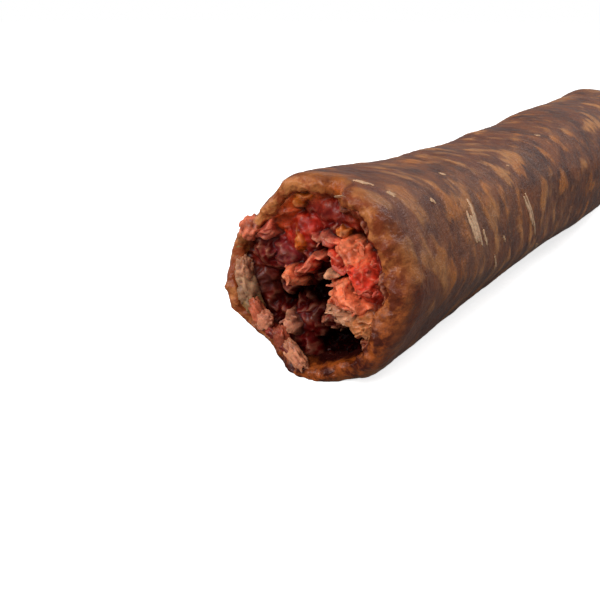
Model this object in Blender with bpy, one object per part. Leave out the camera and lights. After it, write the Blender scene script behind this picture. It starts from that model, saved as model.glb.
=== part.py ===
"""A dry-cured sausage in its natural casing, lying on its side.

The near end, towards -Y, is torn open: a ragged rim round a hollow of broken meat. The far end is
rounded and puckers into a short twist of casing. The body is one piece, so it is one solid.
Units are metres and +Z is up. The origin is on the surface the sausage rests on, under the middle
of its bounding box. A place on the body is given by its distance from the torn rim along the body
and its angle round it: 0 degrees faces +X and 90 degrees faces up.
"""

import math
from collections import namedtuple

import bmesh
import bpy
from mathutils import Euler, Matrix, Vector, noise

MM = 0.001

# The driving sizes
BODY_LENGTH = 141.0 * MM  # from the torn rim to where the far end starts to round over
# The body's radius, in millimetres, at distances behind the rim: it flares at the torn end
GIRTHS = ((0.0, 13.65), (33.0, 12.65), (62.0, 12.75), (100.0, 13.25), (141.0, 13.35))
DOME_LENGTH = 11.0 * MM
TWIST_LENGTH = 5.0 * MM
TWIST_RADIUS = 2.1 * MM
FLATTENING = 0.6 * MM  # how far the underside is pressed flat
SWAY = 4.0 * MM  # how far the far end bends aside
SWAY_START = 80.0 * MM

# The torn end
WALL = 1.8 * MM  # the dried outer layer that stands as a rim
HOLLOW_DEPTH = 3.6 * MM
HOLLOW_SLANT = 0.22  # how much deeper the hollow is at its bottom than on its axis, as a share
HOLLOW_CRAGS = 1.3 * MM
HOLLOW_RINGS = 6

# Where the torn rim and the body's axis lie in the frame
RIM_Y = -77.5 * MM
AXIS_X = 1.96 * MM

# Mesh density
SIDES = 40
RING_STEP = 3.6 * MM
DOME_RINGS = 7
CHUNK_SUBDIVISIONS = 2

# Flats dried into the skin. reach is the distance from the axis, as a share of the local radius,
# at the torn rim and farther back, and twist turns the flat by that many degrees for each
# millimetre behind the rim.
Flat = namedtuple("Flat", "angle twist rim_reach body_reach")
FLATS = (
    Flat(angle=27, twist=-0.4, rim_reach=0.985, body_reach=0.95),
    Flat(angle=-24, twist=-0.4, rim_reach=0.98, body_reach=0.945),
    Flat(angle=84, twist=0.0, rim_reach=0.985, body_reach=0.965),
    Flat(angle=137, twist=0.1, rim_reach=0.87, body_reach=0.95),
    Flat(angle=232, twist=0.0, rim_reach=0.95, body_reach=0.96),
)
FLAT_SOFTNESS = 1.1 * MM
FLAT_BLEND = 22.0 * MM  # how far from the rim the rim's own flats fade out

# Dents and, with a negative depth, swellings
Dent = namedtuple("Dent", "along angle half_length half_angle depth")
DENTS = (
    Dent(along=50, angle=88, half_length=9, half_angle=45, depth=0.5),
    Dent(along=86, angle=80, half_length=13, half_angle=50, depth=-0.5),
    Dent(along=30, angle=5, half_length=8, half_angle=30, depth=-0.3),
    Dent(along=63, angle=-15, half_length=10, half_angle=25, depth=0.4),
    Dent(along=112, angle=25, half_length=10, half_angle=35, depth=0.5),
    Dent(along=38, angle=190, half_length=12, half_angle=40, depth=0.5),
    Dent(along=74, angle=150, half_length=9, half_angle=35, depth=0.6),
    Dent(along=100, angle=215, half_length=13, half_angle=40, depth=-0.5),
    Dent(along=128, angle=110, half_length=8, half_angle=50, depth=0.5),
)
LUMP_SIZE = 9.0 * MM
LUMP_HEIGHT = 0.18 * MM

# Bites out of the rim's edge and, with a negative depth, tongues that it puts out
Tear = namedtuple("Tear", "angle half_angle depth")
TEARS = (
    Tear(angle=80, half_angle=9, depth=2.0),
    Tear(angle=128, half_angle=22, depth=0.9),
    Tear(angle=172, half_angle=10, depth=1.2),
    Tear(angle=200, half_angle=16, depth=-0.9),
    Tear(angle=234, half_angle=20, depth=1.3),
    Tear(angle=262, half_angle=14, depth=-0.5),
    Tear(angle=292, half_angle=10, depth=0.9),
    Tear(angle=330, half_angle=16, depth=-0.7),
    Tear(angle=20, half_angle=14, depth=0.6),
)
RIM_ROUGHNESS = 0.5 * MM

# Pits in the hollow's floor, in millimetres, with their middle from the body's axis
Pit = namedtuple("Pit", "x z half_width depth")
PITS = (
    Pit(x=-1.8, z=-3.6, half_width=1.8, depth=2.6),
    Pit(x=3.2, z=7.6, half_width=1.6, depth=2.0),
    Pit(x=-9.6, z=-4.3, half_width=1.6, depth=1.8),
    Pit(x=1.9, z=-9.8, half_width=3.2, depth=1.8),
    Pit(x=-7.0, z=5.2, half_width=2.0, depth=1.2),
)

# Lumps of torn meat that stand in the hollow, in millimetres. x and z are their middle from the
# body's axis, front how far they stand past the rim (negative: behind it), and lean turns the
# wide and high half-sizes about the axis, in degrees.
Chunk = namedtuple("Chunk", "name x z front wide high lean")
CHUNKS = (
    Chunk("fat_top", -3.1, 9.8, -1.0, 2.8, 1.5, 10),
    Chunk("red_top", 0.6, 8.5, -2.0, 5.2, 2.2, -8),
    Chunk("red_middle", -2.6, 5.6, -1.5, 4.3, 2.5, 15),
    Chunk("fat_bead", 2.9, 7.0, -0.7, 1.9, 1.6, 0),
    Chunk("coral_upper", 4.8, 4.6, -0.2, 2.8, 2.1, -30),
    Chunk("coral_middle", 6.6, 1.8, 0.3, 3.1, 3.2, 35),
    Chunk("coral_lower", 5.8, -2.0, 0.6, 3.9, 2.6, -12),
    Chunk("tan_lower", 7.6, -4.8, 0.6, 2.6, 2.3, 20),
    Chunk("coral_bead", -3.6, -0.3, 0.7, 2.0, 2.2, 10),
    Chunk("red_arch", -0.6, 1.8, -0.4, 3.0, 1.6, 12),
    Chunk("violet_left", -5.8, 2.8, -1.4, 2.8, 3.0, 0),
    Chunk("pink_rim", -8.6, 6.0, 0.2, 2.3, 2.0, 40),
    Chunk("brown_rim", -9.6, 2.2, -0.4, 2.1, 3.3, 8),
    Chunk("pale_rim", -10.9, -2.1, 0.2, 2.1, 2.8, 12),
    Chunk("violet_low", -6.6, -2.0, -1.2, 2.6, 2.4, 0),
    Chunk("flap_upper", -6.9, -5.4, 0.8, 2.3, 2.7, 30),
    Chunk("flap_middle", -4.2, -7.2, 1.2, 2.6, 2.0, -35),
    Chunk("flap_tip", -0.9, -8.7, 1.6, 2.9, 1.7, -28),
    Chunk("pale_slab", -3.2, -4.8, 0.0, 1.6, 2.3, 8),
    Chunk("red_low", 1.6, -4.0, -1.2, 2.6, 2.2, 30),
    Chunk("violet_right", 8.7, 5.5, -1.2, 1.8, 2.7, 10),
    Chunk("brown_right", 10.4, 1.0, -0.5, 2.0, 4.5, -4),
    Chunk("ridge_right", 7.2, 8.7, -0.6, 1.8, 3.0, 38),
    Chunk("brown_low", 6.6, -7.4, -0.6, 3.2, 1.8, 35),
)
CHUNK_ROOT = 3.4 * MM  # how far below the hollow's floor a lump is widest
CHUNK_BACK = 0.25  # the depth of a lump behind its widest place, as a share of that before it
CHUNK_CRAGS = 0.22  # how craggy a lump is, as a share of its half-size

PUCKER_FOLDS = 9
PUCKER_DEPTH = 0.2

CASING_COLOUR = (0.105, 0.045, 0.027, 1.0)
CASING_ROUGHNESS = 0.42


def clear_scene():
    for item in list(bpy.data.objects):
        bpy.data.objects.remove(item)


def bell(distance, half_width):
    """1 at the middle, fading to almost nothing at twice the half width."""
    return math.exp(-((distance / half_width) ** 2))


def angle_between(first, second):
    """The smallest turn between two angles in degrees."""
    return abs((first - second + 180) % 360 - 180)


def soft_min(first, second, softness):
    near = max(softness - abs(first - second), 0) / softness
    return min(first, second) - near * near * softness / 4


def girth(along):
    """The body's radius before its flats, dents and lumps."""
    place = min(max(along / MM, GIRTHS[0][0]), GIRTHS[-1][0])
    for (start, before), (end, after) in zip(GIRTHS, GIRTHS[1:]):
        if place <= end:
            share = (place - start) / (end - start)
            return (before + (after - before) * share * share * (3 - 2 * share)) * MM


def axis_point(along):
    """The middle of the body's section at this distance from the rim."""
    share = max(along - SWAY_START, 0) / (BODY_LENGTH - SWAY_START)
    return Vector((AXIS_X - SWAY * share**2, RIM_Y + along, girth(along) - FLATTENING))


def skin_radius(along, angle):
    """The distance of the skin from the axis, with its flats, dents and lumps."""
    radius = girth(along)
    at_rim = math.exp(-max(along, 0) / FLAT_BLEND)
    for flat in FLATS:
        facing = math.cos(math.radians(angle - flat.angle - flat.twist * along / MM))
        reach = flat.rim_reach * at_rim + flat.body_reach * (1 - at_rim)
        if facing > 0.3:
            radius = soft_min(radius, girth(along) * reach / facing, FLAT_SOFTNESS)
    for dent in DENTS:
        near = bell(along - dent.along * MM, dent.half_length * MM)
        radius -= dent.depth * MM * near * bell(angle_between(angle, dent.angle), dent.half_angle)
    turn = math.radians(angle)
    place = Vector((math.cos(turn) * radius, along, math.sin(turn) * radius))
    return radius + LUMP_HEIGHT * noise.noise(place / LUMP_SIZE)


def rim_place(angle):
    """How far behind the rim's plane the torn edge lies at this angle."""
    turn = math.radians(angle)
    place = Vector((math.cos(turn), math.sin(turn), 0.0))
    along = RIM_ROUGHNESS * noise.noise(place * 4)
    for tear in TEARS:
        along += tear.depth * MM * bell(angle_between(angle, tear.angle), tear.half_angle)
    return along


def section(along_at, radius_at):
    """One ring round the axis. along_at and radius_at give its place and radius at each angle."""
    ring = []
    for side in range(SIDES):
        angle = 360 * side / SIDES
        turn = math.radians(angle)
        along, radius = along_at(angle), radius_at(angle)
        point = axis_point(along) + radius * Vector((math.cos(turn), 0, math.sin(turn)))
        point.z = max(point.z, 0.0)
        ring.append(point)
    return ring


def floor_radius(share, angle):
    return share * (skin_radius(HOLLOW_DEPTH, angle) - WALL * 1.4)


def floor_place(share, angle):
    """How far behind the rim's plane the hollow's floor lies, at a share of the way out."""
    turn = math.radians(angle)
    across = floor_radius(share, angle) * Vector((math.cos(turn), math.sin(turn), 0.0))
    along = HOLLOW_DEPTH * (1 - HOLLOW_SLANT * share * math.sin(turn))
    along += HOLLOW_CRAGS * noise.noise(across / (3 * MM))
    for pit in PITS:
        middle = Vector((pit.x, pit.z, 0.0)) * MM
        along += pit.depth * MM * bell((across - middle).length, pit.half_width * MM)
    return along


def hollow_rings():
    """From the middle of the hollow's floor out to the crest of the rim."""
    rings = []
    for step in range(HOLLOW_RINGS + 1):
        share = step / HOLLOW_RINGS
        rings.append(section(
            lambda angle, share=share: floor_place(share, angle),
            lambda angle, share=share: floor_radius(share, angle),
        ))
    rings.append(section(
        lambda angle: rim_place(angle) + 0.4 * HOLLOW_DEPTH,
        lambda angle: skin_radius(0, angle) - WALL,
    ))
    rings.append(section(
        lambda angle: rim_place(angle) + 0.1 * WALL,
        lambda angle: skin_radius(0, angle) - 0.75 * WALL,
    ))
    return rings


def body_rings():
    """From the crest of the rim back to where the far end starts to round over."""
    rings = [section(rim_place, lambda angle: skin_radius(0, angle) - 0.35 * WALL)]
    count = round(BODY_LENGTH / RING_STEP)
    for step in range(count + 1):
        share = step / count
        start = 0.45 * WALL * (1 - share)
        rings.append(section(
            lambda angle, share=share, start=start: (
                start + share * BODY_LENGTH + rim_place(angle) * (1 - share) ** 8
            ),
            lambda angle, share=share: skin_radius(share * BODY_LENGTH, angle),
        ))
    return rings


def dome_rings():
    """The rounded far end, which gathers into folds round the twist of casing."""
    rings = []
    for step in range(1, DOME_RINGS + 1):
        share = step / (DOME_RINGS + 0.6)
        turn = share * math.pi / 2
        along = BODY_LENGTH + DOME_LENGTH * math.sin(turn)
        narrowing = math.cos(turn) ** 0.85

        def radius_at(angle, narrowing=narrowing, share=share):
            fold = math.cos(math.radians(PUCKER_FOLDS * angle) + math.sin(math.radians(2 * angle)))
            return skin_radius(BODY_LENGTH, angle) * narrowing * (1 + PUCKER_DEPTH * share**4 * fold)

        rings.append(section(lambda angle, along=along: along, radius_at))
    return rings


def twist_rings():
    """The short twist of casing: a neck, a swelling and a blunt torn tip."""
    rings = []
    start = BODY_LENGTH + DOME_LENGTH - 0.4 * MM
    for share, width in ((0.0, 0.85), (0.3, 0.8), (0.65, 1.1), (0.92, 0.9), (1.0, 0.45), (1.0, 0.0)):
        def radius_at(angle, share=share, width=width):
            ridge = 1 + 0.16 * math.cos(math.radians(4 * angle + 150 * share))
            return TWIST_RADIUS * width * ridge

        rings.append(section(lambda angle, share=share: start + TWIST_LENGTH * share, radius_at))
    return rings


def skin_through(rings):
    """A closed mesh through the rings. The first and the last ring each close to a point."""
    mesh = bmesh.new()
    loops = [[mesh.verts.new(point) for point in ring] for ring in rings]
    for near, far in zip(loops, loops[1:]):
        for side in range(SIDES):
            after = (side + 1) % SIDES
            mesh.faces.new((near[side], near[after], far[after], far[side]))
    for ring in (loops[0], loops[-1]):
        bmesh.ops.pointmerge(mesh, verts=ring, merge_co=ring[0].co.copy())
    bmesh.ops.triangulate(mesh, faces=mesh.faces[:])
    bmesh.ops.recalc_face_normals(mesh, faces=mesh.faces[:])
    return mesh


def chunk_mesh(chunk):
    """A craggy lump of meat that widens down to its root, so that it overhangs nothing."""
    depth = HOLLOW_DEPTH + CHUNK_ROOT
    centre = axis_point(0) + Vector((chunk.x * MM, depth, chunk.z * MM))
    half_sizes = (chunk.wide * MM, depth + chunk.front * MM, chunk.high * MM)
    shape = (
        Matrix.Translation(centre)
        @ Euler((0, -math.radians(chunk.lean), 0)).to_matrix().to_4x4()
        @ Matrix.Diagonal((*half_sizes, 1))
    )
    mesh = bmesh.new()
    bmesh.ops.create_icosphere(mesh, subdivisions=CHUNK_SUBDIVISIONS, radius=1.0)
    own_place = Vector((chunk.x, chunk.z, 0.0))
    for vert in mesh.verts:
        crag = noise.noise(vert.co * 1.3 + own_place) + 0.5 * noise.noise(vert.co * 3.1 + own_place)
        vert.co.x *= 1 + CHUNK_CRAGS * crag
        vert.co.z *= 1 + CHUNK_CRAGS * crag
        if vert.co.y > 0:
            vert.co.y *= CHUNK_BACK
    mesh.transform(shape)
    return mesh


def add_object(name, mesh):
    data = bpy.data.meshes.new(name)
    mesh.to_mesh(data)
    mesh.free()
    item = bpy.data.objects.new(name, data)
    bpy.context.scene.collection.objects.link(item)
    return item


def join_chunks(body):
    """Unites the lumps of torn meat with the body, one after the other."""
    for chunk in CHUNKS:
        lump = add_object("lump_" + chunk.name, chunk_mesh(chunk))
        lump.hide_render = True
        lump.display_type = "WIRE"
        union = body.modifiers.new("join_" + chunk.name, "BOOLEAN")
        union.operation = "UNION"
        union.object = lump


def casing_material():
    material = bpy.data.materials.new("casing")
    material.use_nodes = True
    surface = material.node_tree.nodes["Principled BSDF"]
    surface.inputs["Base Color"].default_value = CASING_COLOUR
    surface.inputs["Roughness"].default_value = CASING_ROUGHNESS
    return material


def main():
    clear_scene()
    rings = hollow_rings() + body_rings() + dome_rings() + twist_rings()
    sausage = add_object("sausage", skin_through(rings))
    sausage.data.materials.append(casing_material())
    sausage.data.shade_smooth()
    join_chunks(sausage)


main()
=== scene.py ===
"""The looks of a dry-cured sausage, torn open at its near end.

Three pieces ride on the one CAD body: the skin, with its wrinkles, fat patches and puckered far
end; the torn meat that fills the open end; and the shreds of meat and casing that stand up from
it. Lengths are in metres in the row frame, and in millimetres inside the tables of flats, dents,
lumps and the like. A place on the sausage is given by its distance behind the torn rim and its
angle round the axis: 0 degrees faces +X and 90 degrees faces up.
"""

import math
import random
from collections import namedtuple

import bpy
import numpy as np
from mathutils import Euler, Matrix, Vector, noise

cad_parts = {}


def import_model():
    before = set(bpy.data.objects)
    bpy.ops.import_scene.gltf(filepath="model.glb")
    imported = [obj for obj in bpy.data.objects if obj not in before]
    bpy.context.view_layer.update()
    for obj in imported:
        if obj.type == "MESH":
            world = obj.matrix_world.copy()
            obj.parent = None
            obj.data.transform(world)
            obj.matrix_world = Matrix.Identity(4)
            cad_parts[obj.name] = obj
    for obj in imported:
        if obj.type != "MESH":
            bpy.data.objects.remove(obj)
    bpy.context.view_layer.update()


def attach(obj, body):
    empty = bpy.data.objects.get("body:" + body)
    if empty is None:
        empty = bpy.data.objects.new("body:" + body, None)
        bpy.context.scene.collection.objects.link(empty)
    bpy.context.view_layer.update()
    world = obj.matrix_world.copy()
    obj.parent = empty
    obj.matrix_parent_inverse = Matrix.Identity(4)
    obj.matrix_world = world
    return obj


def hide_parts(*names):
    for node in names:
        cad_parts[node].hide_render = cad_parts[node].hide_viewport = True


MM = 0.001

# The body, as the CAD has it
GIRTHS = ((0.0, 13.65), (33.0, 12.65), (62.0, 12.75), (100.0, 13.25), (141.0, 13.35))
BODY_LENGTH = 141.0 * MM
DOME_LENGTH = 11.0 * MM
TWIST_LENGTH = 5.0 * MM
TWIST_RADIUS = 2.1 * MM
FLATTENING = 0.6 * MM
SWAY = 4.0 * MM
SWAY_START = 80.0 * MM
RIM_Y = -77.5 * MM
AXIS_X = 1.96 * MM

Flat = namedtuple("Flat", "angle twist rim_reach body_reach")
FLATS = (
    Flat(angle=27, twist=-0.4, rim_reach=0.985, body_reach=0.95),
    Flat(angle=-24, twist=-0.4, rim_reach=0.98, body_reach=0.945),
    Flat(angle=84, twist=0.0, rim_reach=0.985, body_reach=0.965),
    Flat(angle=137, twist=0.1, rim_reach=0.87, body_reach=0.95),
    Flat(angle=232, twist=0.0, rim_reach=0.95, body_reach=0.96),
)
FLAT_SOFTNESS = 1.1 * MM
FLAT_BLEND = 22.0 * MM

Dent = namedtuple("Dent", "along angle half_length half_angle depth")
DENTS = (
    Dent(along=50, angle=88, half_length=9, half_angle=45, depth=0.5),
    Dent(along=86, angle=80, half_length=13, half_angle=50, depth=-0.5),
    Dent(along=30, angle=5, half_length=8, half_angle=30, depth=-0.3),
    Dent(along=63, angle=-15, half_length=10, half_angle=25, depth=0.4),
    Dent(along=112, angle=25, half_length=10, half_angle=35, depth=0.5),
    Dent(along=38, angle=190, half_length=12, half_angle=40, depth=0.5),
    Dent(along=74, angle=150, half_length=9, half_angle=35, depth=0.6),
    Dent(along=100, angle=215, half_length=13, half_angle=40, depth=-0.5),
    Dent(along=128, angle=110, half_length=8, half_angle=50, depth=0.5),
)
LUMP_SIZE = 9.0 * MM
LUMP_HEIGHT = 0.18 * MM

Tear = namedtuple("Tear", "angle half_angle depth")
TEARS = (
    Tear(angle=80, half_angle=9, depth=2.0),
    Tear(angle=128, half_angle=22, depth=0.9),
    Tear(angle=172, half_angle=10, depth=1.2),
    Tear(angle=200, half_angle=16, depth=-0.9),
    Tear(angle=234, half_angle=20, depth=1.3),
    Tear(angle=262, half_angle=14, depth=-0.5),
    Tear(angle=292, half_angle=10, depth=0.9),
    Tear(angle=330, half_angle=16, depth=-0.7),
    Tear(angle=20, half_angle=14, depth=0.6),
)
RIM_ROUGHNESS = 0.5 * MM
PUCKER_FOLDS = 9
PUCKER_DEPTH = 0.2
TWIST_PROFILE = ((0.0, 0.85), (0.3, 0.8), (0.65, 1.1), (0.9, 0.9), (0.97, 0.55), (1.0, 0.0))
TWIST_OVERLAP = 0.4 * MM  # how far the twist starts inside the dome

# The skin's mesh
SKIN_SIDES = 330
BODY_ROWS = 225
DOME_ROWS = 22
TWIST_ROWS = 14
LIP_ROWS = 14

# The rolled-over edge of the skin at the torn end, from its thin side to its thick side
LIP_THICK_ANGLE = -8  # the side of the rim where the edge is rolled over the farthest
LIP_THICK_HALF_ANGLE = 75
LIP_DROP = (0.8 * MM, 2.4 * MM)  # how far in from the skin the edge's crest lies
LIP_RUN = (1.3 * MM, 3.6 * MM)  # how far back the rolling over starts
LIP_INNER = 0.9 * MM  # from the crest in to the inner wall
LIP_DEPTH = 6.0 * MM  # how far back the inner wall goes
LIP_LEAN = 0.3 * MM  # how much narrower the inner wall is at its bottom
LIP_WALL_SHARE = 0.45  # the share of the inner rows that lie on that wall
LIP_UNEVEN = 0.4  # how much those sizes change round the rim, as a share
LIP_CRAGS = 0.4 * MM
BROWN_AND_SHADED_RIM = ((-50, 80), (262, 26), (78, 9))  # where the rim is browner, and round its bottom darker as painted shade; each an angle and a half angle

# The skin's grain: pieces of fat and lean lie across the sausage, slanting over its top
GRAIN_SLANT = 0.45
GRAIN_STRETCH = 0.62
FAT_SIZE = 2.9 * MM
FAT_RISE = 0.08 * MM
WRINKLE_SIZE = 1.7 * MM
WRINKLE_HEIGHT = 0.12 * MM

# Pieces of fat that show larger than the rest
Patch = namedtuple("Patch", "along angle half_length half_angle")
PATCHES = (
    Patch(along=31.2, angle=28, half_length=2.6, half_angle=14),
    Patch(along=18.0, angle=50, half_length=1.5, half_angle=9),
    Patch(along=8.8, angle=41, half_length=1.8, half_angle=11),
    Patch(along=11.0, angle=10, half_length=2.2, half_angle=10),
    Patch(along=2.8, angle=24, half_length=1.6, half_angle=10),
    Patch(along=54.2, angle=21, half_length=2.0, half_angle=12),
    Patch(along=41.2, angle=46, half_length=1.8, half_angle=9),
    Patch(along=44.0, angle=72, half_length=1.5, half_angle=10),
    Patch(along=51.0, angle=58, half_length=1.5, half_angle=12),
    Patch(along=20.0, angle=150, half_length=3.0, half_angle=12),
    Patch(along=72.0, angle=175, half_length=2.6, half_angle=15),
    Patch(along=96.0, angle=60, half_length=2.8, half_angle=12),
    Patch(along=124.0, angle=205, half_length=2.4, half_angle=14),
)
PATCH_STRENGTH = 0.85


def srgb(red, green, blue):
    """A colour given in 0-255 display values, as linear RGBA."""
    def linear(value):
        share = value / 255
        return share / 12.92 if share <= 0.04045 else ((share + 0.055) / 1.055) ** 2.4

    return (linear(red), linear(green), linear(blue), 1.0)


SKIN_DARK = srgb(70, 28, 12)
SKIN_LEAN = srgb(118, 62, 32)
SKIN_RED = srgb(100, 42, 22)
SKIN_STREAK = srgb(152, 98, 60)
SKIN_GOLD = srgb(186, 108, 36)
SKIN_TAN = srgb(194, 130, 72)
# a pale haze on the skin, partly its whitish coating and partly painted sheen
SKIN_BLOOM_AND_SHEEN = srgb(142, 102, 76)
# painted shade for the creases of the skin's wrinkles
SKIN_CREASE_SHADE = srgb(44, 20, 14)
RIM_SKIN_DARK = srgb(92, 34, 12)
RIM_SKIN_LIGHT = srgb(158, 84, 38)
THIN_RIM_DARK = srgb(148, 66, 26)
# torn-edge colours where the rim is browner, and round the bottom darker as painted shade
THIN_RIM_LIGHT = srgb(200, 124, 68)
BROWN_AND_SHADED_RIM_DARK = srgb(74, 20, 5)
BROWN_AND_SHADED_RIM_LIGHT = srgb(172, 84, 30)
# painted shade deep inside the rolled edge, on its inner wall
RIM_INSIDE_SHADE = srgb(48, 8, 4)
# dark red for the low places of the meat's fibres, partly moist meat and partly painted shade
MEAT_VALLEY_MOIST_AND_SHADE = srgb(70, 6, 4)

# Torn meat. x and z are millimetres from the body's axis, front how far the lump stands past the
# rim, lean turns its wide and high half-sizes about the axis, in degrees.
# A rough lump is craggy, one that is not is smooth and moist.
Lump = namedtuple("Lump", "x z front wide high lean rough colour")
AMBER = srgb(204, 104, 24)
RED = srgb(172, 28, 6)
DARK_RED = srgb(138, 22, 6)
RUST = srgb(190, 66, 16)
DEEP_RED = srgb(100, 8, 5)
PINK = srgb(206, 92, 72)
CORAL = srgb(240, 112, 70)
CORAL_RED = srgb(208, 52, 30)
TAN = srgb(190, 112, 62)
PALE = srgb(226, 158, 120)
VIOLET = srgb(112, 30, 34)
BROWN = srgb(112, 44, 20)
GREY_PINK = srgb(178, 106, 82)
OLIVE = srgb(142, 122, 66)
# black painted shade for the deepest hollows of the torn meat
PIT_SHADE = srgb(10, 0, 0)
WALL_TOP = srgb(176, 72, 24)
WALL_SIDE = srgb(100, 26, 12)

LUMPS = (
    Lump(-2.8, 10.0, -1.4, 2.2, 1.1, 8, 0.3, AMBER),
    Lump(0.8, 8.4, -2.4, 5.0, 2.0, -8, 0.2, DARK_RED),
    Lump(-5.8, 7.4, -2.1, 2.8, 2.0, 38, 0.25, RUST),
    Lump(-3.0, 5.6, -2.2, 3.8, 2.4, 25, 0.25, RED),
    Lump(-3.3, 4.8, -1.6, 0.7, 2.0, 4, 0.3, AMBER),
    Lump(2.9, 6.4, -1.6, 0.7, 0.6, 20, 0.5, AMBER),
    Lump(1.2, 5.2, -1.3, 2.8, 0.8, -6, 0.6, PINK),
    Lump(4.8, 4.2, -0.5, 2.6, 1.4, -40, 0.9, CORAL),
    Lump(6.6, 1.6, -0.4, 2.2, 3.0, 25, 1.0, CORAL_RED),
    Lump(4.6, -1.7, 0.1, 3.0, 1.7, -18, 1.0, CORAL),
    Lump(2.6, 3.0, -1.4, 2.4, 1.2, -40, 0.8, CORAL_RED),
    Lump(3.4, -3.6, 0.2, 2.4, 1.2, -14, 1.0, PALE),
    Lump(7.2, -4.4, 0.0, 2.5, 1.9, 20, 1.0, TAN),
    Lump(-4.1, -0.2, 0.1, 1.1, 1.7, 25, 0.9, CORAL),
    Lump(-2.0, 1.3, -0.7, 2.6, 0.8, 40, 0.8, CORAL_RED),
    Lump(1.7, 1.3, -0.6, 0.7, 0.9, 10, 1.0, PALE),
    Lump(-5.6, 2.6, -1.9, 2.4, 2.6, 0, 0.4, VIOLET),
    Lump(-8.6, 5.6, -0.5, 1.7, 1.5, 40, 0.8, PINK),
    Lump(-8.8, 2.6, -1.4, 1.6, 2.6, 8, 0.7, DEEP_RED),
    Lump(-6.0, -2.6, -4.0, 2.0, 1.6, 0, 0.5, DEEP_RED),
    Lump(-4.3, -6.6, -0.7, 0.7, 1.5, 24, 0.9, GREY_PINK),
    Lump(1.6, -5.4, -2.2, 2.4, 1.2, 20, 0.8, DEEP_RED),
    Lump(8.9, 5.4, -1.9, 1.4, 2.4, 10, 0.6, VIOLET),
    Lump(9.6, 0.4, -0.9, 1.6, 4.0, -4, 1.0, BROWN),
    Lump(7.4, 8.0, -1.2, 1.4, 2.2, 38, 1.0, BROWN),
    Lump(4.4, 9.8, -1.5, 2.4, 1.2, -18, 0.8, BROWN),
    Lump(8.0, -7.0, -0.9, 2.0, 1.4, 45, 1.0, BROWN),
)

Hole = namedtuple("Hole", "x z half_width depth")
HOLES = (
    Hole(x=0.4, z=-1.6, half_width=1.8, depth=4.6),
    Hole(x=-2.0, z=-3.0, half_width=1.6, depth=2.8),
    Hole(x=0.4, z=3.4, half_width=1.3, depth=2.2),
    Hole(x=5.6, z=7.2, half_width=1.7, depth=3.0),
    Hole(x=-6.4, z=-3.0, half_width=2.2, depth=4.0),
    Hole(x=3.2, z=-7.8, half_width=2.7, depth=5.0),
    Hole(x=0.4, z=-9.4, half_width=2.0, depth=3.0),
    Hole(x=8.6, z=4.4, half_width=1.2, depth=2.0),
)
FACE_CELLS = 250
FLOOR_DEPTH = 3.3 * MM
FLOOR_CRAGS = 1.1 * MM
CRAG_HEIGHT = 0.78 * MM
LUMP_BLEND = 0.45 * MM
WALL_SLOPE = 0.95  # how fast the meat falls away from the rolled edge
WALL_TOP_ANGLE = 108  # where the falling meat is rust-coloured instead of dark
WALL_TOP_HALF_ANGLE = 45
OPEN_ANGLE = 264  # where it falls away at once, into the dark hollow
OPEN_HALF_ANGLE = 48
OPEN_DEPTH = 5.0 * MM
LIP_COVER = 1.1 * MM  # how far behind the rolled edge the meat passes under it
FACE_EDGE = 1.5 * MM  # how far inside the skin the meat's sheet ends, under the rolled edge
FACE_BORDER = 0.88  # the share of the sheet's reach past which its points settle into their places
FACE_SHIFT = 0.25 * MM  # how far the points inside that border stray sideways
PIT_SHADE_DEPTHS = (3.0 * MM, 5.4 * MM)  # between these depths the meat's colour gives way to black painted shade

# Lumps that lie over the rim, so each is a closed form of its own. deep is its half-size along
# the body and out is how far its middle stands in front of the rim.
RimLump = namedtuple("RimLump", "x z out wide deep high lean colour")
RIM_LUMPS = (
    RimLump(-11.2, -0.6, -1.3, 0.9, 1.3, 1.7, 4, srgb(186, 128, 96)),
    RimLump(-10.9, -2.9, -1.2, 1.2, 1.5, 1.9, 20, srgb(174, 128, 96)),
    RimLump(-9.9, -4.9, -1.3, 1.0, 1.3, 1.5, 40, srgb(150, 110, 70)),
    RimLump(-10.0, 5.4, -1.3, 1.4, 1.4, 1.3, 50, srgb(210, 110, 78)),
    RimLump(-8.6, -5.8, -0.7, 0.8, 1.0, 1.9, 30, srgb(184, 92, 62)),
    RimLump(-7.3, -6.6, -0.3, 1.1, 0.8, 1.3, -30, srgb(210, 128, 96)),
    RimLump(-6.0, -7.9, -0.6, 0.7, 1.0, 1.6, 60, srgb(134, 46, 32)),
    RimLump(-4.6, -8.3, -0.2, 0.9, 0.8, 1.5, 20, srgb(168, 80, 54)),
    RimLump(-3.4, -9.6, -0.2, 0.6, 0.9, 1.6, 62, srgb(126, 44, 30)),
    RimLump(-2.2, -10.1, 0.1, 1.0, 0.7, 2.1, 44, srgb(206, 130, 96)),
)
LUMP_SQUARENESS = 0.82  # below 1 makes them boxy
LUMP_CRAGS = 0.42

# Flakes and fibres that stand up from the torn meat
FLAKE_COUNT = 45
FLAKE_LENGTH = (0.8 * MM, 2.1 * MM)
FLAKE_WIDTH = (0.3 * MM, 0.7 * MM)
FLAKE_THICKNESS = 0.16 * MM
FLAKE_SEED = 11

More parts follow.
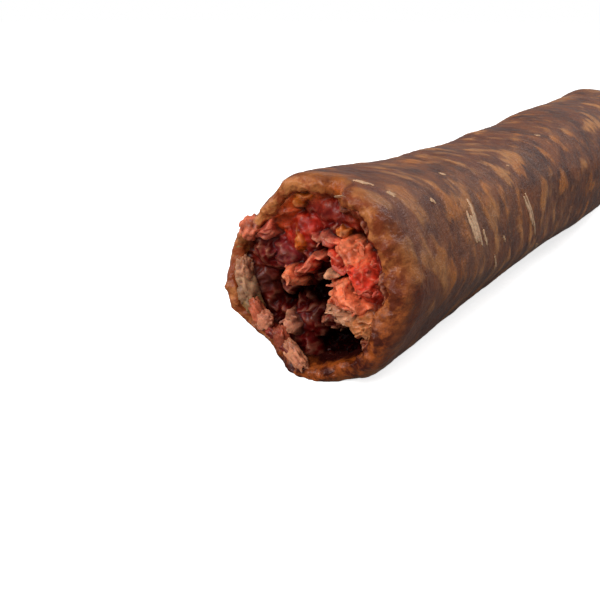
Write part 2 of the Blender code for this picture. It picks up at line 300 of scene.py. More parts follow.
# Strips of casing that lie on the skin where it has cracked and dried pale. They run from one
# angle to another, at a distance behind the rim that drifts by drift, in millimetres.
Strip = namedtuple("Strip", "along drift start_angle end_angle width")
STRIPS = (
    Strip(along=23.4, drift=0.6, start_angle=40, end_angle=3, width=1.9),
    Strip(along=26.2, drift=0.4, start_angle=20, end_angle=6, width=0.7),
    Strip(along=45.4, drift=3.2, start_angle=28, end_angle=-12, width=1.9),
    Strip(along=51.6, drift=3.4, start_angle=-14, end_angle=-32, width=0.9),
    Strip(along=3.6, drift=0.9, start_angle=74, end_angle=64, width=0.8),
    Strip(along=5.6, drift=0.6, start_angle=58, end_angle=53, width=0.5),
    Strip(along=29.6, drift=1.2, start_angle=-2, end_angle=-16, width=0.45),
    Strip(along=24.0, drift=0.5, start_angle=64, end_angle=60, width=0.5),
    Strip(along=13.6, drift=0.5, start_angle=47, end_angle=42, width=0.55),
    Strip(along=44.8, drift=0.4, start_angle=51, end_angle=49, width=0.4),
    Strip(along=33.8, drift=0.4, start_angle=7, end_angle=1, width=0.35),
    Strip(along=66.0, drift=0.9, start_angle=66, end_angle=62, width=0.5),
    Strip(along=88.0, drift=2.2, start_angle=158, end_angle=128, width=0.7),
    Strip(along=58.0, drift=1.2, start_angle=205, end_angle=176, width=0.6),
    Strip(along=31.0, drift=-1.0, start_angle=168, end_angle=150, width=0.6),
    Strip(along=104.0, drift=2.0, start_angle=36, end_angle=12, width=0.7),
    Strip(along=119.0, drift=1.4, start_angle=190, end_angle=166, width=0.5),
)
# Each corner of a strip's section is given in half-widths across and millimetres above the skin.
STRIP_SECTION = ((-1, -0.1), (-0.6, 0.1), (0.6, 0.1), (1, -0.1), (0, -0.3))
STRIP_THREADS = 3  # each strip is frayed into this many
STRIP_SEED = 5
STRIP_COLOUR = srgb(220, 176, 138)

# Pieces of thin casing that stick out at the rim. x and z are their middle, in millimetres from
# the axis, and out is how far it stands in front of the rim.
Film = namedtuple("Film", "x z out length width lean tip colour")
FILMS = (
    Film(-10.8, -5.4, -1.3, 2.4, 1.5, -62, 20, OLIVE),
    Film(-12.0, 2.0, -1.3, 1.6, 1.1, 80, 25, OLIVE),
    Film(4.4, 11.3, -0.5, 2.6, 0.7, -8, 50, srgb(208, 166, 128)),
    Film(8.8, 8.4, -0.9, 1.5, 0.6, -50, 20, srgb(206, 142, 96)),
)
FILM_THICKNESS = 0.12 * MM

# The view
CAMERA_AZIMUTH = 33.8
CAMERA_ELEVATION = 20.0
CAMERA_LENS = 47.6
# Where the camera has the rim's middle: to its right, up and in front of it
RIM_SEEN_AT = Vector((1.28, 1.98, 98.0)) * MM

# Lamps, all white, each a disk that faces the target
Lamp = namedtuple("Lamp", "name place size power")
LAMPS = (
    Lamp("lamp_back_right", (0.24, 0.25, 0.46), 0.35, 1.6),
    Lamp("lamp_front", (-0.02, -0.46, 0.28), 0.30, 1.6),
    Lamp("lamp_low_back", (0.34, 0.46, 0.17), 0.12, 0.11),
    Lamp("lamp_left", (-0.42, -0.12, 0.22), 0.30, 0.45),
)
LAMP_TARGET = Vector((0, -0.03, 0.012))

WORLD_LIGHT = 0.32
FLOOR_HALF = 3.0
FLOOR_DROP = 0.02 * MM  # below the sausage, so that their faces do not meet
FLOOR_SEEN = 0.9  # how pale the floor is to the camera
FLOOR_BOUNCE = 0.22  # how pale it is to the light that it throws back on the object
FLOOR_GLOW = 0.73  # added to what the camera sees, so that only the shadow is less than white


def bell(distance, half_width):
    """1 at the middle, fading to almost nothing at twice the half width."""
    return np.exp(-((distance / half_width) ** 2))


def smooth_step(low, high, value):
    share = np.clip((value - low) / (high - low), 0, 1)
    return share * share * (3 - 2 * share)


def angle_between(first, second):
    return np.abs((first - second + 180) % 360 - 180)


def soft_min(first, second, softness):
    near = np.maximum(softness - np.abs(first - second), 0) / softness
    return np.minimum(first, second) - near * near * softness / 4


def noise_at(points, size, shift=0.0):
    """Smooth noise, about -1 to 1, at an array of points of shape (..., 3)."""
    flat = (points.reshape(-1, 3) / size + shift).tolist()
    return np.array([noise.noise(point) for point in flat]).reshape(points.shape[:-1])


def ragged(points, size, shift):
    """Noise with detail at three scales."""
    total = noise_at(points, size, shift)
    total = total + 0.5 * noise_at(points, size / 2.1, shift + 5.0)
    return total + 0.25 * noise_at(points, size / 4.3, shift + 9.0)


def ridged(points, size, shift):
    """Sharp ridges at two scales, about 0 to 1."""
    broad = 1 - 2 * np.abs(noise_at(points, size, shift))
    return 0.65 * broad + 0.35 * (1 - 2 * np.abs(noise_at(points, size / 2.3, shift + 6.0)))


def around(angle):
    turn = np.radians(angle)
    return np.stack([np.cos(turn), np.zeros_like(turn), np.sin(turn)], axis=-1)


def girth(along):
    """The body's radius before its flats, dents and lumps."""
    place = np.clip(np.asarray(along, float) / MM, GIRTHS[0][0], GIRTHS[-1][0])
    radius = np.full_like(place, GIRTHS[0][1])
    for (start, before), (end, after) in zip(GIRTHS, GIRTHS[1:]):
        radius = radius + (after - before) * smooth_step(start, end, place)
    return radius * MM


def axis_points(along):
    share = np.maximum(along - SWAY_START, 0) / (BODY_LENGTH - SWAY_START)
    return np.stack([AXIS_X - SWAY * share**2, RIM_Y + along, girth(along) - FLATTENING], axis=-1)


def rim_middle():
    return axis_points(np.array(0.0))


def skin_radius(along, angle):
    """The distance of the skin from the axis, with its flats, dents and lumps."""
    radius = girth(along)
    at_rim = np.exp(-np.maximum(along, 0) / FLAT_BLEND)
    for flat in FLATS:
        facing = np.cos(np.radians(angle - flat.angle - flat.twist * along / MM))
        reach = flat.rim_reach * at_rim + flat.body_reach * (1 - at_rim)
        limit = girth(along) * reach / np.maximum(facing, 0.3)
        radius = np.where(facing > 0.3, soft_min(radius, limit, FLAT_SOFTNESS), radius)
    for dent in DENTS:
        near = bell(along - dent.along * MM, dent.half_length * MM)
        radius = radius - dent.depth * MM * near * bell(angle_between(angle, dent.angle), dent.half_angle)
    turn = np.radians(angle)
    place = np.stack([np.cos(turn) * radius, along + 0 * radius, np.sin(turn) * radius], axis=-1)
    return radius + LUMP_HEIGHT * noise_at(place, LUMP_SIZE)


def rim_place(angle):
    """How far behind the rim's plane the torn edge lies at this angle."""
    turn = np.radians(angle)
    place = np.stack([np.cos(turn), np.sin(turn), np.zeros_like(turn)], axis=-1)
    along = RIM_ROUGHNESS * noise_at(place, 0.25)
    for tear in TEARS:
        along = along + tear.depth * MM * bell(angle_between(angle, tear.angle), tear.half_angle)
    return along


def lip_size(limits, angle, shift):
    """A size of the rolled edge, from its thin side to its thick side, uneven round the rim."""
    thin, thick = limits
    size = thin + (thick - thin) * bell(angle_between(angle, LIP_THICK_ANGLE), LIP_THICK_HALF_ANGLE)
    return size * (1 + LIP_UNEVEN * noise_at(around(angle), 0.22, shift))


def grain(points):
    """Stretched and slanted coordinates in which the fat, lean and wrinkles are even in size."""
    x, y, z = points[..., 0], points[..., 1], points[..., 2]
    return np.stack([x * GRAIN_STRETCH, y - GRAIN_SLANT * x, z * GRAIN_STRETCH], axis=-1)


def fat_field(points):
    """0 where lean meat lies under the skin and 1 where fat does."""
    place = grain(points)
    place = place + 0.9 * MM * noise_at(points, 4 * MM)[..., None]
    mix = noise_at(place, FAT_SIZE) + 0.45 * noise_at(place, FAT_SIZE / 2.2, 7.3)
    along = points[..., 1] - RIM_Y
    away = points - axis_points(along)
    angle = np.degrees(np.arctan2(away[..., 2], away[..., 0]))
    for patch in PATCHES:
        near = bell(along - patch.along * MM, patch.half_length * MM)
        mix = mix + PATCH_STRENGTH * near * bell(angle_between(angle, patch.angle), patch.half_angle)
    return smooth_step(0.0, 0.62, mix)


def wrinkle_field(points):
    """Fine folds along the grain, -1 to 1, deeper in some places than in others."""
    place = grain(points)
    folds = 1 - 2.4 * np.abs(noise_at(place, WRINKLE_SIZE, 3.1))
    strength = smooth_step(-0.3, 0.5, noise_at(points, 11 * MM, 1.7))
    return folds * (0.35 + 0.65 * strength)


def skin_relief(points):
    """How far fat patches and wrinkles lift the skin."""
    return FAT_RISE * (fat_field(points) - 0.5) + WRINKLE_HEIGHT * wrinkle_field(points)


Lip = namedtuple("Lip", "angle rim reach drop run inner")


def rolled_lip():
    """The sizes of the rolled-over edge at every side of the skin's mesh."""
    angle = np.arange(SKIN_SIDES) * 360 / SKIN_SIDES
    return Lip(
        angle=angle,
        rim=rim_place(angle),
        reach=skin_radius(np.zeros_like(angle), angle),
        drop=lip_size(LIP_DROP, angle, 0.0),
        run=lip_size(LIP_RUN, angle, 4.0),
        inner=lip_size((LIP_INNER, LIP_INNER), angle, 8.0),
    )


def inner_rows(lip):
    """Rows up the inner wall of the rolled edge and round to its crest."""
    rows = []
    crest = lip.reach - lip.drop
    for step in range(LIP_ROWS):
        share = step / (LIP_ROWS - 1)
        if share < LIP_WALL_SHARE:
            down = 1 - share / LIP_WALL_SHARE
            along = lip.rim + lip.inner + down * (LIP_DEPTH - lip.inner)
            rows.append((along, crest - lip.inner - LIP_LEAN * down, 0.2, 1.0 + down))
        else:
            turn = (share - LIP_WALL_SHARE) / (1 - LIP_WALL_SHARE) * math.pi / 2
            along = lip.rim + lip.inner * (1 - math.sin(turn))
            rows.append((along, crest - lip.inner * math.cos(turn), 0.4, 1.0))
    return rows


def rolled_rows(lip):
    """Rows from the crest of the rolled edge out to the skin."""
    rows = []
    for step in range(1, LIP_ROWS):
        turn = step / LIP_ROWS * math.pi / 2
        along = lip.rim + lip.run * (1 - math.cos(turn))
        radius = lip.reach - lip.drop * (1 - math.sin(turn))
        rows.append((along, radius, 0.5 + 0.5 * math.sin(turn), 1 - math.sin(turn) ** 2))
    return rows


def body_rows(lip):
    """Rows along the body, closer together near the rim."""
    rows = []
    for step in range(BODY_ROWS + 1):
        share = (step / BODY_ROWS) ** 1.25
        along = lip.run + share * (BODY_LENGTH - lip.run) + lip.rim * (1 - share) ** 8
        rows.append((along, skin_radius(along, lip.angle), 1.0, 0.0))
    return rows


def dome_rows(angle):
    """Rows over the closed end, which is drawn in to puckers."""
    rows = []
    end = skin_radius(np.full_like(angle, BODY_LENGTH), angle)
    fold = np.cos(np.radians(PUCKER_FOLDS * angle) + np.sin(np.radians(2 * angle)))
    for step in range(1, DOME_ROWS + 1):
        share = step / (DOME_ROWS + 1.2)
        turn = share * math.pi / 2
        radius = end * math.cos(turn) ** 0.85 * (1 + PUCKER_DEPTH * share**4 * fold)
        rows.append((BODY_LENGTH + DOME_LENGTH * math.sin(turn), radius, 1 - share**2, 0.0))
    return rows


def twist_rows(angle):
    """Rows up the short twist of casing that closes the far end."""
    rows = []
    start = BODY_LENGTH + DOME_LENGTH - TWIST_OVERLAP
    widths = np.interp(np.linspace(0, 1, TWIST_ROWS), *zip(*TWIST_PROFILE))
    for step, width in enumerate(widths):
        share = step / (TWIST_ROWS - 1)
        ridge = 1 + 0.16 * np.cos(np.radians(4 * angle + 150 * share))
        rows.append((start + TWIST_LENGTH * share, TWIST_RADIUS * width * ridge, 0.0, 0.0))
    return rows


def skin_rows():
    """The skin from the inside of the rolled edge to the tip of the twist, as five grids.
    They are each point's angle, place along the body, radius, relief and edge. relief is the
    share of the wrinkles that the point gets. edge is 0 on the skin, 1 on the rim's crest and 2
    deep on its inner wall."""
    lip = rolled_lip()
    rows = inner_rows(lip) + rolled_rows(lip) + body_rows(lip)
    rows += dome_rows(lip.angle) + twist_rows(lip.angle)
    level = np.zeros_like(lip.angle)
    columns = ([lip.angle] * len(rows), *zip(*rows))
    return [np.array([part + level for part in column]) for column in columns]


def make_mesh_object(name, points, faces, fields):
    """A mesh object from arrays, with a float or colour attribute for each field."""
    data = bpy.data.meshes.new(name)
    data.from_pydata(points.tolist(), [], faces)
    for field, values in fields.items():
        if values.ndim == 1:
            data.attributes.new(field, "FLOAT", "POINT").data.foreach_set("value", values)
        else:
            data.attributes.new(field, "FLOAT_COLOR", "POINT").data.foreach_set("color", values.ravel())
    data.shade_smooth()
    data.update()
    item = bpy.data.objects.new(name, data)
    bpy.context.scene.collection.objects.link(item)
    return item


def grid_faces(rows, columns, wraps):
    """Quads over a grid whose points are numbered row by row."""
    faces = []
    for row in range(rows - 1):
        for column in range(columns if wraps else columns - 1):
            after = (column + 1) % columns
            near, far = row * columns, (row + 1) * columns
            faces.append((near + column, near + after, far + after, far + column))
    return faces


def make_skin():
    angle, along, radius, relief, edge = skin_rows()
    points = axis_points(along) + radius[..., None] * around(angle)
    fat = fat_field(points)
    wrinkle = wrinkle_field(points)
    radius = radius + relief * skin_relief(points)
    crags = LIP_CRAGS * np.minimum(edge, 1)
    radius = radius + crags * (ragged(points, 1.3 * MM, 3.0) - 0.4)
    along = along + crags * ragged(points, 1.1 * MM, 13.0)
    points = axis_points(along) + radius[..., None] * around(angle)
    points[..., 2] = np.maximum(points[..., 2], 0.0)
    rows, columns = along.shape
    fields = {
        "fat": fat.ravel(),
        "wrinkle": wrinkle.ravel(),
        "edge": edge.ravel(),
        "rim_brown_and_shade": sum(bell(angle_between(angle, middle), half) for middle, half in BROWN_AND_SHADED_RIM).ravel(),
        "near_rim": np.exp(-np.maximum(along, 0) / (9 * MM)).ravel(),
    }
    skin = make_mesh_object("skin", points.reshape(-1, 3), grid_faces(rows, columns, True), fields)
    skin.data.materials.append(skin_material())
    return skin


def face_sheet():
    """The torn meat as a sheet of points across the open end, as (x, z) from the axis."""
    side = np.linspace(-1, 1, FACE_CELLS)
    u, v = np.meshgrid(side, side)
    across = u * np.sqrt(1 - v * v / 2)
    up = v * np.sqrt(1 - u * u / 2)
    reach = np.hypot(across, up)
    angle = np.degrees(np.arctan2(up, across))
    limit = skin_radius(np.zeros_like(angle), angle) - FACE_EDGE
    return across * limit, up * limit, reach


def mix_by(weights, values):
    """The average of values, each counted by its weight at every point."""
    total = np.sum(weights, axis=0)[..., None]
    return sum(weight[..., None] * np.array(value) for weight, value in zip(weights, values)) / total


def lump_dome(lump, right, high, shift):
    """The depth of a lump's surface, fibrous along its lean."""
    lean = math.radians(lump.lean)
    along = (right * math.cos(lean) + high * math.sin(lean)) / (lump.wide * MM)
    across = (high * math.cos(lean) - right * math.sin(lean)) / (lump.high * MM)
    out = (along * along + across * across) / 1.35
    dome = -lump.front * MM + 4.0 * MM * (1 - np.sqrt(np.clip(1 - out, 0, 1)))
    dome = dome + 5.0 * MM * np.maximum(out - 1, 0)
    fibres = np.stack([along * 0.9, across * 3.2, np.full_like(right, shift)], axis=-1)
    return dome + 0.4 * lump.rough * MM * noise_at(fibres, 1.0)


def under_lip(x, z):
    """The angle and rim's place at points on the face, and how far in from the rolled edge."""
    angle = np.degrees(np.arctan2(z, x))
    inset = skin_radius(np.zeros_like(angle), angle) - np.hypot(x, z)
    return angle, rim_place(angle), inset - lip_size(LIP_DROP, angle, 0.0) - LIP_INNER


def torn_depth(x, z):
    """How far behind the rim's plane the torn meat lies, and its colour."""
    flat = np.stack([x, np.zeros_like(x), z], axis=-1)
    warp_x = 0.95 * MM * ragged(flat, 2.8 * MM, 11.0)
    warp_z = 0.95 * MM * ragged(flat, 2.8 * MM, 23.0)
    angle, rim, inside = under_lip(x, z)
    depth = FLOOR_DEPTH + FLOOR_CRAGS * ragged(flat, 3.0 * MM, 2.0)
    for hole in HOLES:
        away = np.hypot(x + warp_x - hole.x * MM, z + warp_z - hole.z * MM)
        depth = depth + hole.depth * MM * bell(away, hole.half_width * MM)
    wall = rim + LIP_COVER + WALL_SLOPE * np.maximum(inside + 0.5 * warp_x, 0)
    wall = wall + OPEN_DEPTH * bell(angle_between(angle, OPEN_ANGLE), OPEN_HALF_ANGLE)
    top = bell(angle_between(angle, WALL_TOP_ANGLE), WALL_TOP_HALF_ANGLE)[..., None]
    wall_colour = np.array(WALL_TOP) * top + np.array(WALL_SIDE) * (1 - top)
    weights = [np.exp(-depth / LUMP_BLEND), np.exp(-wall / LUMP_BLEND)]
    colours = [DEEP_RED, wall_colour * (1 + 0.6 * noise_at(flat, 1.6 * MM, 17.0))[..., None]]
    roughs = [[0.6], [0.6]]
    depth = soft_min(depth, wall, 0.8 * MM)
    for index, lump in enumerate(LUMPS):
        dome = lump_dome(lump, x + warp_x - lump.x * MM, z + warp_z - lump.z * MM, index * 3.7)
        depth = soft_min(depth, dome, 0.5 * MM)
        weights.append(np.exp(-dome / LUMP_BLEND))
        colours.append(lump.colour)
        roughs.append([lump.rough])
    rough = mix_by(weights, roughs)[..., 0]
    depth = depth + CRAG_HEIGHT * rough * (0.5 - ridged(flat, 2.0 * MM, 31.0))
    return np.maximum(depth, rim + LIP_COVER - 1.5 * inside), mix_by(weights, colours)


def shade_by_depth(colour, depth):
    """Paints highlight on the ridges and shade in the hollows of what the tear shows."""
    blurred = depth.copy()
    for _ in range(6):
        blurred = (
            blurred + np.roll(blurred, 2, 0) + np.roll(blurred, -2, 0)
            + np.roll(blurred, 2, 1) + np.roll(blurred, -2, 1)
        ) / 5
    ridge = np.clip((blurred - depth) / (0.4 * MM), -1, 1)[..., None]
    # Ridges are paled as painted highlight and hollows darkened as painted shade.
    paler = 0.42 * np.clip(ridge, 0, 1)
    colour = colour * (1 - paler) + paler * np.array(PALE)
    return colour * (1 + 0.75 * np.clip(ridge, -1, 0))


def lump_points(lump, index, rounds, sides):
    """A closed craggy lump as a grid of points from pole to pole."""
    turn = np.linspace(0, math.pi, rounds)[:, None]
    spin = np.arange(sides)[None, :] * 2 * math.pi / sides
    unit = np.stack([
        np.sin(turn) * np.cos(spin), np.sin(turn) * np.sin(spin), np.cos(turn) + 0 * spin,
    ], axis=-1)
    crag = ridged(unit, 0.8, index * 4.1) - 0.4 + 0.4 * noise_at(unit, 0.35, index)
    sizes = np.array([lump.wide, lump.deep, lump.high]) * MM
    boxy = np.sign(unit) * np.abs(unit) ** LUMP_SQUARENESS
    local = boxy * sizes * (1 + LUMP_CRAGS * crag)[..., None]
    turned = local @ np.array(Euler((0, -math.radians(lump.lean), 0)).to_matrix()).T
    centre = rim_middle() + np.array([lump.x, -lump.out, lump.z]) * MM
    # The dents between a lump's crags are painted darker red: painted shade.
    valley_shade = np.clip(-1.4 * crag, 0, 0.8)[..., None]
    colour = np.array(lump.colour) * (1 - valley_shade) + np.array(DEEP_RED) * valley_shade
    return centre + turned, colour


def flake_points(centre, turn, sizes, bend, seed):
    """A thin bent flake as a closed grid of points. sizes are its half-length, -width, -height."""
    rounds, sides = 9, 8
    along = np.linspace(0, math.pi, rounds)[:, None]
    spin = np.arange(sides)[None, :] * 2 * math.pi / sides
    unit = np.stack([
        np.cos(along) + 0 * spin, np.sin(along) ** 0.6 * np.cos(spin), np.sin(along) * np.sin(spin),
    ], axis=-1)
    local = unit * np.array(sizes)
    local[..., 1] *= 1 + 0.5 * noise_at(unit, 0.45, seed)
    local[..., 2] += bend * unit[..., 0] ** 2 + 0.4 * bend * noise_at(unit, 0.5, seed + 3.0)
    return np.array(centre) + local @ np.array(turn).T


def join_grids(grids):
    """One list of points, colours and faces from closed grids of (points, colour)."""
    points, colours, faces = [], [], []
    first = 0
    for grid, colour in grids:
        rows, columns = grid.shape[:2]
        faces += [tuple(first + corner for corner in face) for face in grid_faces(rows, columns, True)]
        points.append(grid.reshape(-1, 3))
        colours.append(np.broadcast_to(np.array(colour), grid.shape[:2] + (4,)).reshape(-1, 4))
        first += rows * columns
    return np.concatenate(points), np.concatenate(colours), faces


def flake_places(draw):
    """Places along the edges of the lumps that stand highest, as (x, z, lump)."""
    high_lumps = [lump for lump in LUMPS if lump.front > -1.6 and math.hypot(lump.x, lump.z) < 9]
    weights = [lump.wide * lump.high * (2.0 + lump.front) for lump in high_lumps]
    places = []
    for lump in draw.choices(high_lumps, weights, k=FLAKE_COUNT):
        spin = draw.uniform(0, 2 * math.pi)
        out = math.sqrt(draw.uniform(0.3, 0.95))
        lean = math.radians(lump.lean)
        right, high = lump.wide * out * math.cos(spin), lump.high * out * math.sin(spin)
        x = lump.x + right * math.cos(lean) - high * math.sin(lean)
        z = lump.z + high * math.cos(lean) + right * math.sin(lean)
        places.append((x * MM, z * MM, lump))
    return places


def flake_grids():
    draw = random.Random(FLAKE_SEED)
    places = flake_places(draw)
    x = np.array([place[0] for place in places])
    z = np.array([place[1] for place in places])
    depth, _ = torn_depth(x, z)
    grids = []
    for index, (right, high, lump) in enumerate(places):
        length = draw.uniform(*FLAKE_LENGTH) / 2
        width = draw.uniform(*FLAKE_WIDTH) / 2
        turn = Euler((
            draw.gauss(0, 0.35),
            math.radians(draw.gauss(-lump.lean, 45)),
            draw.gauss(0, 0.35),
        ), "XYZ").to_matrix() @ Euler((math.pi / 2, 0, 0)).to_matrix()
        centre = rim_middle() + np.array([right, depth[index] - 0.05 * MM, high])
        pale = draw.uniform(0.0, 0.3)
        colour = np.array(lump.colour) * (1 - pale) + np.array(PALE) * pale
        sizes = (length, width, FLAKE_THICKNESS / 2)
        grids.append((flake_points(centre, turn, sizes, draw.uniform(-0.25, 0.25) * MM, index), colour))
    return grids


def film_grids():
    grids = []
    for index, film in enumerate(FILMS):
        turn = Euler((
            math.radians(90 + film.tip), -math.radians(film.lean), 0,
        ), "XYZ").to_matrix()
        centre = rim_middle() + np.array([film.x, -film.out, film.z]) * MM
        sizes = (film.length * MM / 2, film.width * MM / 2, FILM_THICKNESS / 2)
        grids.append((flake_points(centre, turn, sizes, 0.3 * MM, 50.0 + index), film.colour))
    return grids


def strip_grid(strip, seed):
    """A thin strip that follows the skin, with an uneven outline."""
    steps = 22
    share = np.linspace(0, 1, steps)
    angle = strip.start_angle + share * (strip.end_angle - strip.start_angle)
    middle = (strip.along + strip.drift * share) * MM
    place = np.stack([share * 6, np.full(steps, seed * 5.0), np.zeros(steps)], axis=-1)
    half = strip.width / 2 * MM * np.sin(math.pi * np.clip(share, 0.02, 0.98)) ** 0.5
    half = half * (1 + 0.4 * noise_at(place, 1.0))
    middle = middle + 0.25 * MM * noise_at(place, 2.0, 9.0)
    rails = []
    for side, lift in STRIP_SECTION:
        along = middle + side * half
        points = axis_points(along) + 0.0
        radius = skin_radius(along, angle)
        radius = radius + skin_relief(points + radius[:, None] * around(angle)) + lift * MM
        rails.append(points + radius[:, None] * around(angle))
    rings = np.stack(rails, axis=1)
    ends = [np.broadcast_to(ring.mean(axis=0), ring.shape) for ring in (rings[0], rings[-1])]
    return np.concatenate([ends[0][None], rings, ends[1][None]])


def frayed(strip, draw):
    """The threads that a strip has split into, side by side and of uneven length."""
    threads = []
    span = strip.end_angle - strip.start_angle
    for thread in range(STRIP_THREADS):
        across = (thread - (STRIP_THREADS - 1) / 2) / STRIP_THREADS
        threads.append(strip._replace(
            along=strip.along + 1.25 * across * strip.width,
            start_angle=strip.start_angle + draw.uniform(0, 0.3) * span,
            end_angle=strip.end_angle - draw.uniform(0, 0.3) * span,
            width=strip.width * draw.uniform(0.4, 0.62),
        ))
    return threads


def make_shreds():
    draw = random.Random(STRIP_SEED)
    grids = flake_grids() + film_grids()
    threads = [thread for strip in STRIPS for thread in frayed(strip, draw)]
    grids += [(strip_grid(thread, index), STRIP_COLOUR) for index, thread in enumerate(threads)]
    points, colours, faces = join_grids(grids)
    shreds = make_mesh_object("shreds", points, faces, {"tint": colours})
    shreds.data.materials.append(shred_material())
    return shreds


def make_meat():
    x, z, reach = face_sheet()
    depth, colour = torn_depth(x, z)
    # The deepest meat is painted over with black, as painted shade in the hollows.
    sunk = smooth_step(*PIT_SHADE_DEPTHS, depth)
    colour = shade_by_depth(colour, depth)
    colour = colour * (1 - sunk[..., None]) + sunk[..., None] * np.array(PIT_SHADE)
    loose = 1 - smooth_step(FACE_BORDER, 1.0, reach)
    flat = np.stack([x, depth, z], axis=-1)
    x = x + FACE_SHIFT * noise_at(flat, 1.1 * MM, 41.0) * loose
    z = z + FACE_SHIFT * noise_at(flat, 1.1 * MM, 47.0) * loose
    points = rim_middle() + np.stack([x, depth, z], axis=-1)
    all_points = [points.reshape(-1, 3)]
    all_colours = [colour.reshape(-1, 4)]
    all_sunk = [sunk.ravel()]
    faces = grid_faces(FACE_CELLS, FACE_CELLS, False)
    rounds, sides = 34, 48
    for index, lump in enumerate(RIM_LUMPS):
        first = sum(len(part) for part in all_points)
        lump_place, lump_colour = lump_points(lump, index, rounds, sides)
        faces += [tuple(first + corner for corner in face) for face in grid_faces(rounds, sides, True)]
        all_points.append(lump_place.reshape(-1, 3))
        all_colours.append(lump_colour.reshape(-1, 4))
        all_sunk.append(np.zeros(rounds * sides))
    fields = {"tint": np.concatenate(all_colours), "sunk": np.concatenate(all_sunk)}
    meat = make_mesh_object("meat", np.concatenate(all_points), faces, fields)
    meat.data.materials.append(meat_material())
    return meat


class Nodes:
    """A short way to write a material's node tree."""

    def __init__(self, name):
        self.material = bpy.data.materials.new(name)
        self.material.use_nodes = True
        self.tree = self.material.node_tree
        self.surface = self.tree.nodes["Principled BSDF"]

    def set(self, **values):
        """Sets sockets of the Principled shader, by name with _ for a space."""
        for name, value in values.items():
            self.put(self.surface.inputs[name.replace("_", " ")], value)

    def put(self, socket, value):
        if isinstance(value, bpy.types.NodeSocket):
            self.tree.links.new(value, socket)
        else:
            socket.default_value = value

    def add(self, kind, output=0, inputs=(), **settings):
        node = self.tree.nodes.new(kind)
        for name, value in settings.items():
            setattr(node, name, value)
        for key, value in dict(inputs).items():
            self.put(node.inputs[key], value)
        return node.outputs[output]

    def attribute(self, name, output="Fac"):
        return self.add("ShaderNodeAttribute", output, attribute_name=name)

    def maths(self, operation, first, second, third=0.0):
        return self.add("ShaderNodeMath", 0, {0: first, 1: second, 2: third}, operation=operation)

    def ramp(self, value, low, high, start=0.0, end=1.0):
        """Maps low..high to start..end, smoothly and clamped."""
        return self.add(
            "ShaderNodeMapRange", 0,
            {"Value": value, "From Min": low, "From Max": high, "To Min": start, "To Max": end},
            interpolation_type="SMOOTHSTEP",
        )

    def mix(self, share, first, second, blend="MIX"):
        return self.add(
            "ShaderNodeMix", 2, {0: share, 6: first, 7: second}, data_type="RGBA", blend_type=blend
        )

    def noise(self, place, scale, detail, roughness, distortion=0.0):
        return self.add(
            "ShaderNodeTexNoise", 0,
            {"Vector": place, "Scale": scale, "Detail": detail, "Roughness": roughness,
             "Distortion": distortion},
        )

    def place(self, scale=(1, 1, 1)):
        """Object coordinates, scaled."""
        coordinates = self.add("ShaderNodeTexCoord", "Object")
        return self.add("ShaderNodeMapping", 0, {"Vector": coordinates, "Scale": scale})

    def bump(self, height, distance, strength):
        return self.add(
            "ShaderNodeBump", 0, {"Height": height, "Distance": distance, "Strength": strength}
        )


def skin_grain_coordinates(nodes):
    """The same slanted, stretched coordinates as grain() gives."""
    coordinates = nodes.add("ShaderNodeTexCoord", "Object")
    parts = nodes.tree.nodes.new("ShaderNodeSeparateXYZ")
    nodes.tree.links.new(coordinates, parts.inputs[0])
    x, y, z = parts.outputs
    slanted = nodes.maths("MULTIPLY_ADD", x, -GRAIN_SLANT, y)
    return nodes.add("ShaderNodeCombineXYZ", 0, {
        0: nodes.maths("MULTIPLY", x, GRAIN_STRETCH),
        1: slanted,
        2: nodes.maths("MULTIPLY", z, GRAIN_STRETCH),
    })


def body_colour(nodes, streaks, mottle):
    """Dark lean with tan and golden fat showing through it, and a faint pale haze over both that is
    partly the casing's whitish coating and partly painted sheen.
    """
    place = nodes.place()
    broad = nodes.noise(place, 75, 2, 0.5)
    lean = nodes.mix(nodes.ramp(mottle, 0.32, 0.68), SKIN_DARK, SKIN_LEAN)
    lean = nodes.mix(nodes.ramp(broad, 0.45, 0.65, 0, 0.6), lean, SKIN_RED)
    lean = nodes.mix(nodes.ramp(streaks, 0.52, 0.78, 0, 0.45), lean, SKIN_STREAK)
    golden = nodes.mix(nodes.ramp(broad, 0.4, 0.58), SKIN_GOLD, SKIN_TAN)
    golden = nodes.mix(nodes.ramp(streaks, 0.28, 0.6, 0.55, 0), golden, SKIN_RED)
    fat = nodes.attribute("fat")
    fat = nodes.maths("MULTIPLY_ADD", nodes.maths("SUBTRACT", streaks, 0.5), 0.8, fat)
    fat = nodes.maths("MULTIPLY_ADD", nodes.maths("SUBTRACT", mottle, 0.5), 0.75, fat)
    colour = nodes.mix(nodes.ramp(fat, -0.2, 1.3), lean, golden)
    # A pale haze in patches over the skin: partly the casing's coating, partly painted sheen.
    bloom_and_sheen = nodes.ramp(nodes.noise(place, 52, 3, 0.55), 0.5, 0.72, 0, 0.24)
    return nodes.mix(bloom_and_sheen, colour, SKIN_BLOOM_AND_SHEEN)


